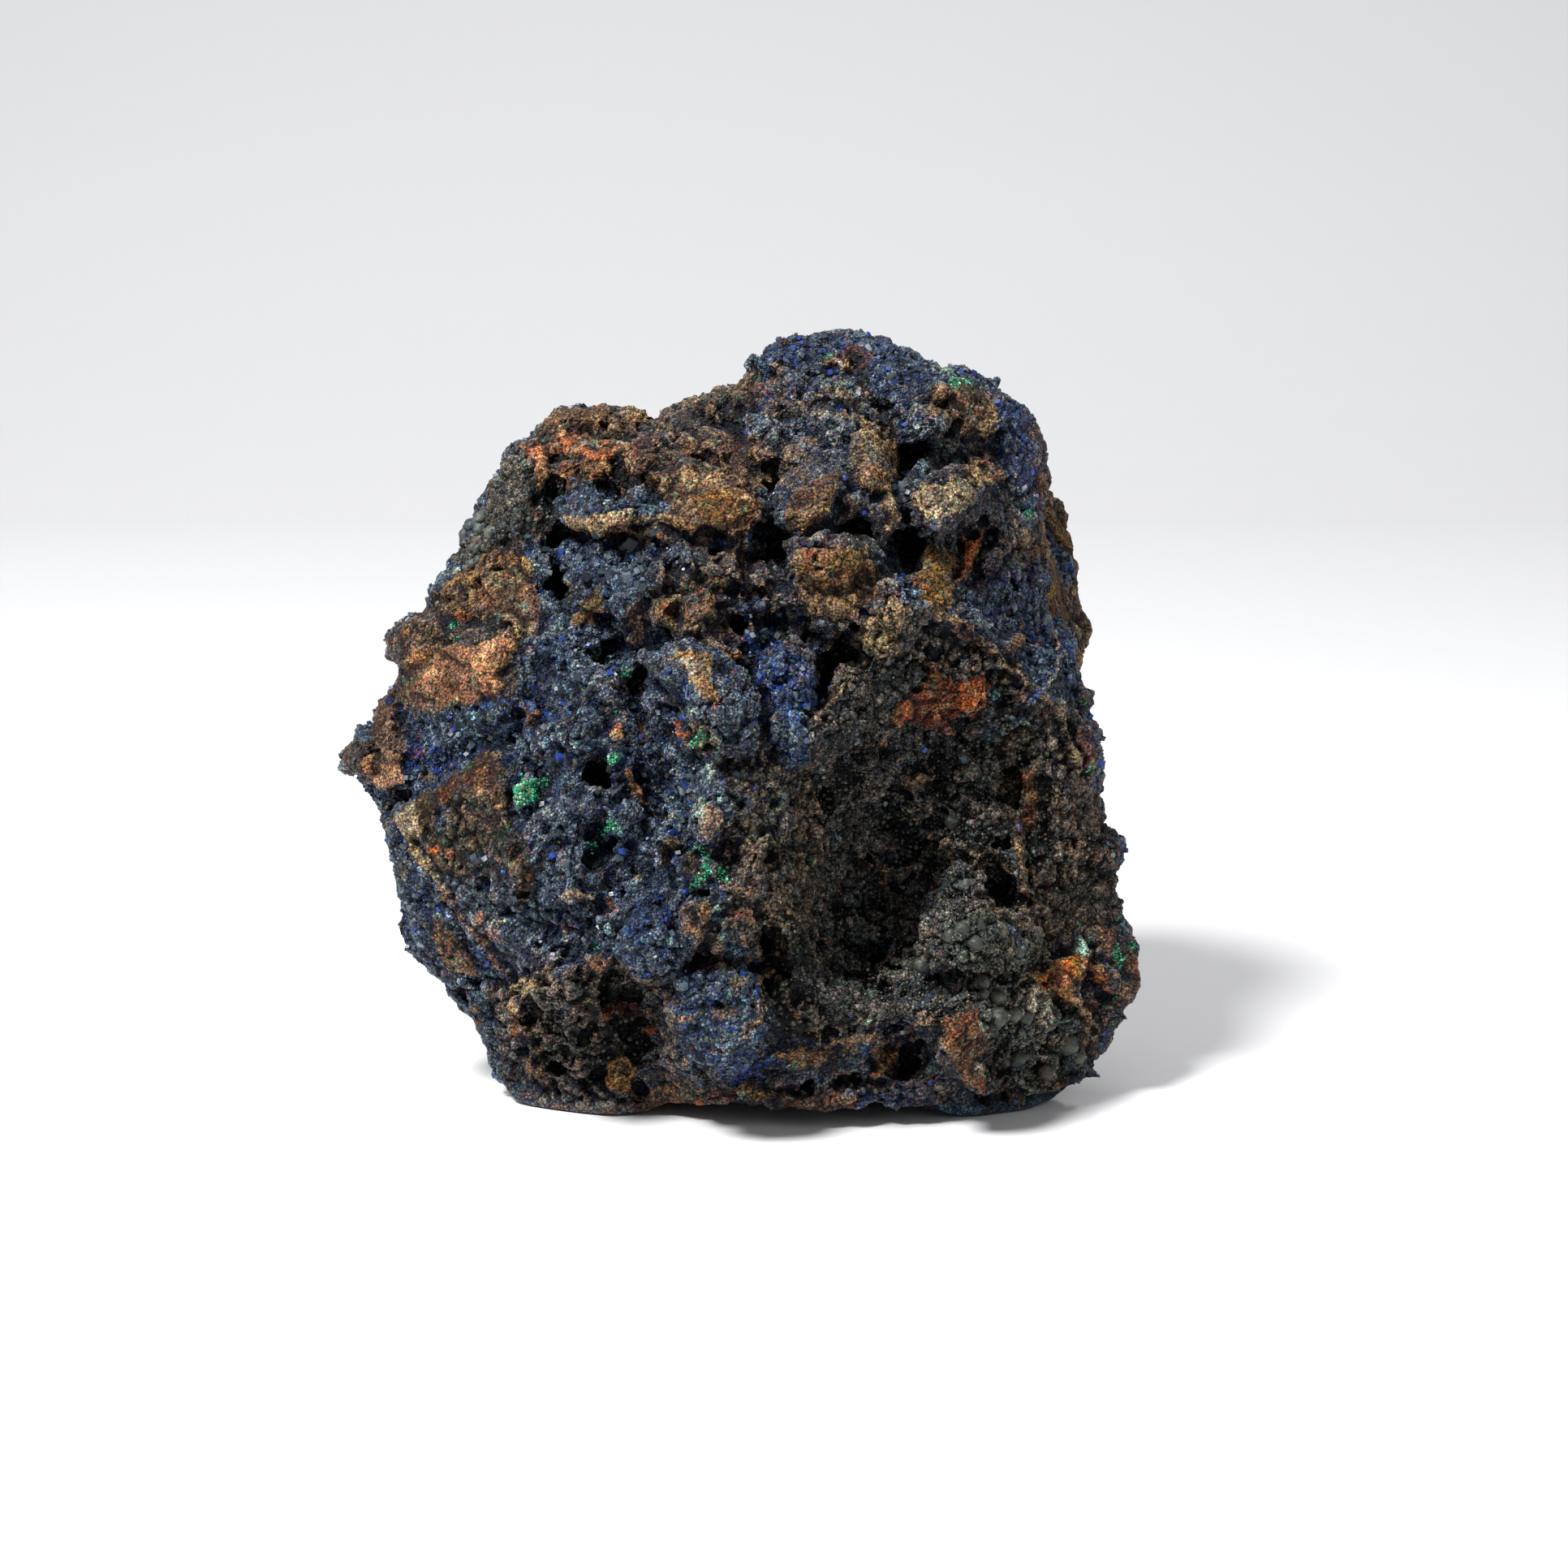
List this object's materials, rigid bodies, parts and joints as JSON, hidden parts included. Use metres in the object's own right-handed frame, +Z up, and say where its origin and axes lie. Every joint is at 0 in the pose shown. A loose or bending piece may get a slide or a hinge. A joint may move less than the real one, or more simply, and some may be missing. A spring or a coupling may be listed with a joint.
{
  "type": "azurite mineral specimen",
  "caption": "Hand-sized rough lump of brown iron-oxide rock grown over with dark blue azurite, with green malachite tufts and an open hollow lined with black bubbly crust.",
  "frame": {"origin": "on the ground, under the middle of the bounding box", "axes": "+Z up as the lump rests; -Y is the broad front with the hollow; +X is the viewer's right"},
  "size_m": [0.0812, 0.0682, 0.0769],
  "materials": {
    "rock": "rough, granular, sparkling where azurite crystals cover it",
    "crust": "satin black beads and bubbles"
  },
  "bodies": {
    "root": {"host_rock": "rock", "hollow_crust": "crust"}
  },
  "joints": []
}
